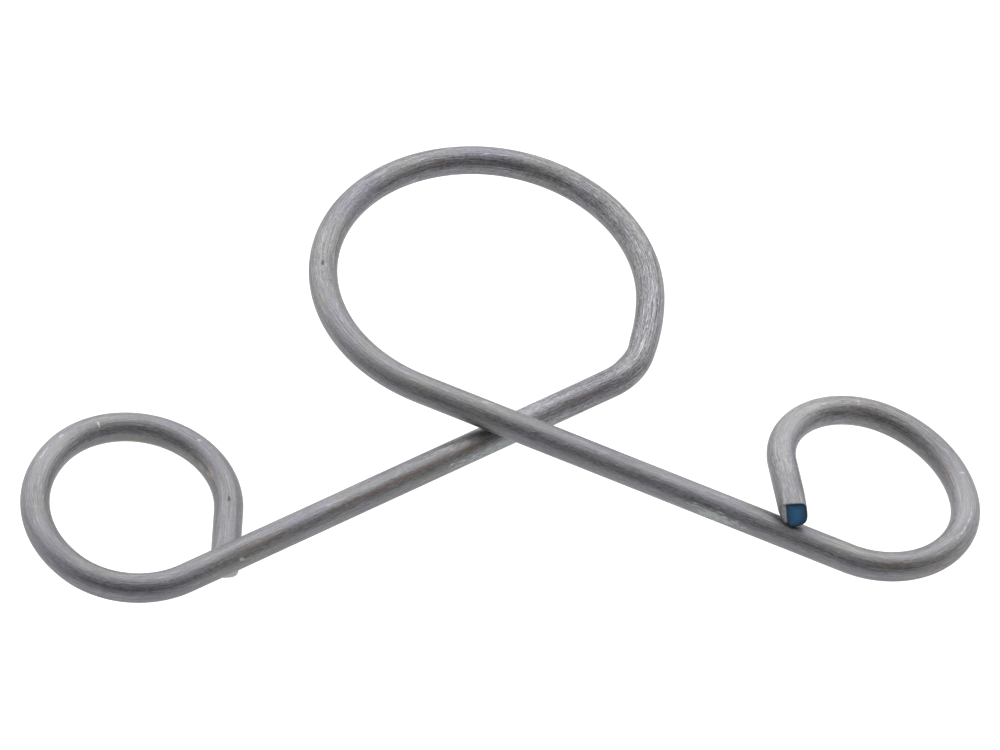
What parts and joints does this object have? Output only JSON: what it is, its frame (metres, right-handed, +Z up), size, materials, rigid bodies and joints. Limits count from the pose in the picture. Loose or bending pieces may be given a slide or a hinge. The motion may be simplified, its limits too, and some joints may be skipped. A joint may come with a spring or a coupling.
{
  "type": "retaining clip",
  "caption": "Spring-wire retaining clip: a round gripping loop, crossed legs and a finger loop at the end of each leg.",
  "frame": {"origin": "on the surface the clip lies on, under the middle of its box", "axes": "+X to the finger loop whose straight end lies on its leg, +Y to the gripping loop, +Z up from the surface"},
  "size_m": [0.103, 0.0636, 0.0089],
  "materials": {
    "wire": "dull drawn spring wire, bare"
  },
  "bodies": {
    "root": {"clip_wire": "wire"}
  },
  "joints": []
}
